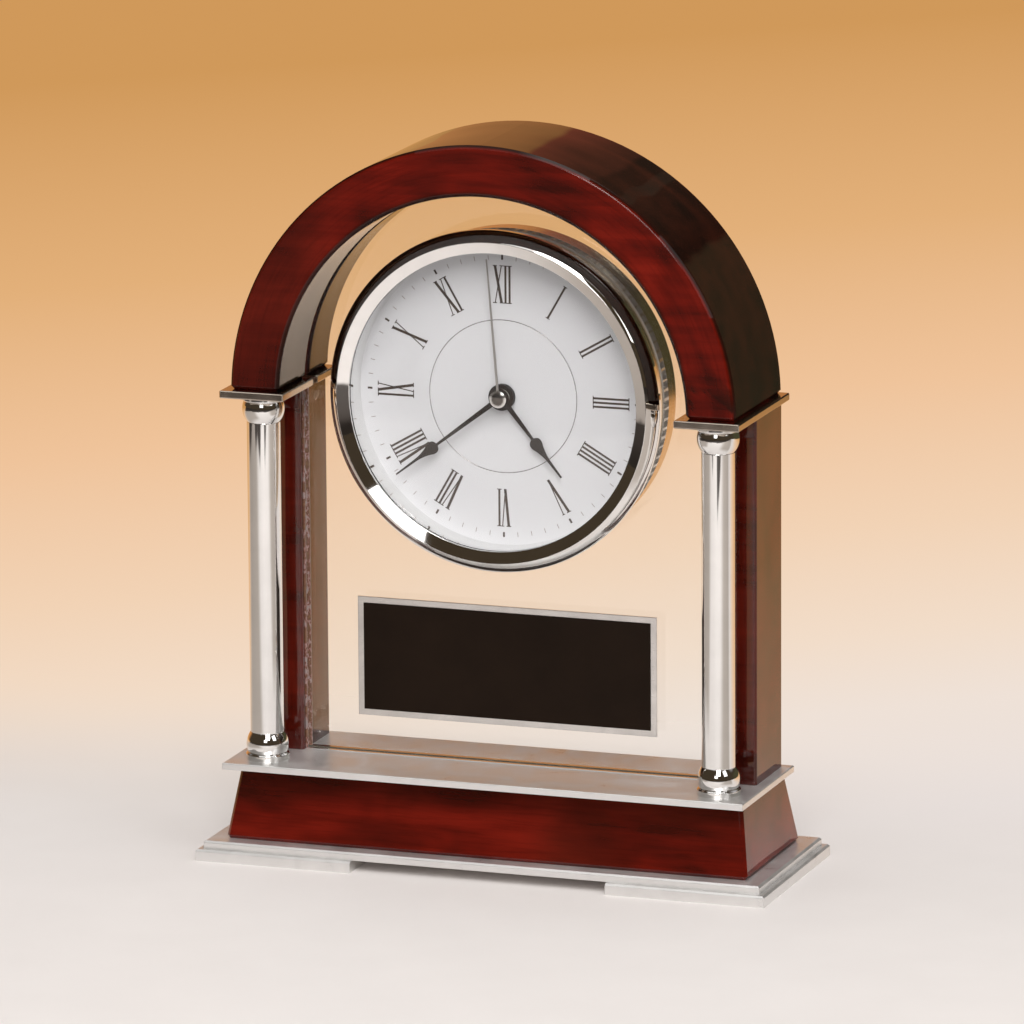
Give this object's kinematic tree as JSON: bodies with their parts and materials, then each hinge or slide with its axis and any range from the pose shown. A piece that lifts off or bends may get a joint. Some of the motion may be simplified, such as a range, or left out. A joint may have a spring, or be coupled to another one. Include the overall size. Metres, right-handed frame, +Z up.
{
  "type": "mantel clock",
  "caption": "Arched wooden mantel clock on twin columns, with a round quartz clock set in a glass panel and a blank name plate below it.",
  "frame": {"origin": "centre of the footprint, on the surface that the feet stand on", "axes": "+Z up, the dial faces -Y, +X to the right as seen from the front"},
  "size_m": [0.18, 0.0654, 0.2226],
  "materials": {
    "wood": "high gloss lacquer",
    "dowel_wood": "plain",
    "satin_plate": "satin",
    "capital_plate": "satin",
    "column_chrome": "polished",
    "glass": "clear",
    "name_plate": "satin",
    "name_plate_face": "black, semi gloss",
    "steel": "plain",
    "bezel_chrome": "polished",
    "crystal": "clear",
    "reflector": "polished",
    "dial": "matt",
    "insert_case": "satin",
    "grip_ring": "matt",
    "movement_case": "matt",
    "stator": "plain",
    "coil": "enamelled wire",
    "circuit_board": "matt",
    "quartz_can": "satin",
    "contact": "plain",
    "battery": "satin",
    "rotor": "matt",
    "wheel": "matt",
    "cannon_pinion": "plain",
    "setting_knob": "matt",
    "hand": "satin",
    "second_hand": "satin",
    "hand_cap": "polished"
  },
  "bodies": {
    "case": {"foot_left": "satin_plate", "foot_right": "satin_plate", "base_plate": "satin_plate", "base_block": "wood", "top_plate": "satin_plate", "column_foot_left": "column_chrome", "column_foot_right": "column_chrome", "column_shaft_left": "column_chrome", "column_shaft_right": "column_chrome", "column_head_left": "column_chrome", "column_head_right": "column_chrome", "post_left": "wood", "post_right": "wood", "capital_plate_left": "capital_plate", "capital_plate_right": "capital_plate", "arch": "wood", "glass_panel": "glass", "name_plate": "name_plate", "name_plate_face": "name_plate_face", "tie_rods": "steel", "tie_nuts": "steel", "post_dowels": "dowel_wood", "foot_screws": "steel", "bezel": "bezel_chrome", "crystal": "crystal", "reflector_ring": "reflector", "dial": "dial", "insert_case": "insert_case", "grip_ring": "grip_ring", "movement_case": "movement_case", "movement_cover": "movement_case", "movement_screws": "steel", "stator": "stator", "coil": "coil", "circuit_board": "circuit_board", "quartz_can": "quartz_can", "contact_positive": "contact", "contact_negative": "contact"},
    "second": {"second_hand": "second_hand", "hand_cap": "hand_cap", "second_wheel": "wheel"},
    "rotor": {"rotor": "rotor"},
    "intermediate": {"intermediate_wheel": "wheel"},
    "third": {"third_wheel": "wheel"},
    "centre": {"centre_wheel": "wheel"},
    "minute": {"minute_hand": "hand", "cannon_pinion": "cannon_pinion"},
    "setting": {"motion_wheel": "wheel", "setting_knob": "setting_knob"},
    "hour": {"hour_hand": "hand", "hour_wheel": "wheel"},
    "battery": {"battery": "battery"}
  },
  "joints": [
    {"name": "second_turn", "type": "hinge", "parent": "case", "child": "second", "pos_m": [0, 0, 0.1434], "axis": [0, 1, 0], "continuous": true},
    {"name": "rotor_turn", "type": "hinge", "parent": "case", "child": "rotor", "pos_m": [-0.00339, 0, 0.1566], "axis": [0, 1, 0], "continuous": true},
    {"name": "intermediate_turn", "type": "hinge", "parent": "case", "child": "intermediate", "pos_m": [0.00261, 0, 0.15314], "axis": [0, 1, 0], "continuous": true},
    {"name": "third_turn", "type": "hinge", "parent": "case", "child": "third", "pos_m": [0.0102, 0, 0.1434], "axis": [0, 1, 0], "continuous": true},
    {"name": "centre_turn", "type": "hinge", "parent": "case", "child": "centre", "pos_m": [0, 0, 0.1434], "axis": [0, 1, 0], "continuous": true},
    {"name": "minute_turn", "type": "hinge", "parent": "case", "child": "minute", "pos_m": [0, 0, 0.1434], "axis": [0, 1, 0], "continuous": true},
    {"name": "setting_turn", "type": "hinge", "parent": "case", "child": "setting", "pos_m": [-0.0108, 0, 0.1434], "axis": [0, 1, 0], "continuous": true},
    {"name": "hour_turn", "type": "hinge", "parent": "case", "child": "hour", "pos_m": [0, 0, 0.1434], "axis": [0, 1, 0], "continuous": true},
    {"name": "battery_slide", "type": "slide", "parent": "case", "child": "battery", "axis": [0, 1, 0], "range_m": [0, 0.02]}
  ],
  "couplings": [
    {"joint": "rotor_turn", "follows": "second_turn", "ratio": 30},
    {"joint": "intermediate_turn", "follows": "second_turn", "ratio": -5},
    {"joint": "third_turn", "follows": "second_turn", "ratio": -0.13333},
    {"joint": "centre_turn", "follows": "second_turn", "ratio": 0.016667},
    {"joint": "setting_turn", "follows": "minute_turn", "ratio": -0.33333},
    {"joint": "hour_turn", "follows": "minute_turn", "ratio": 0.083333}
  ]
}
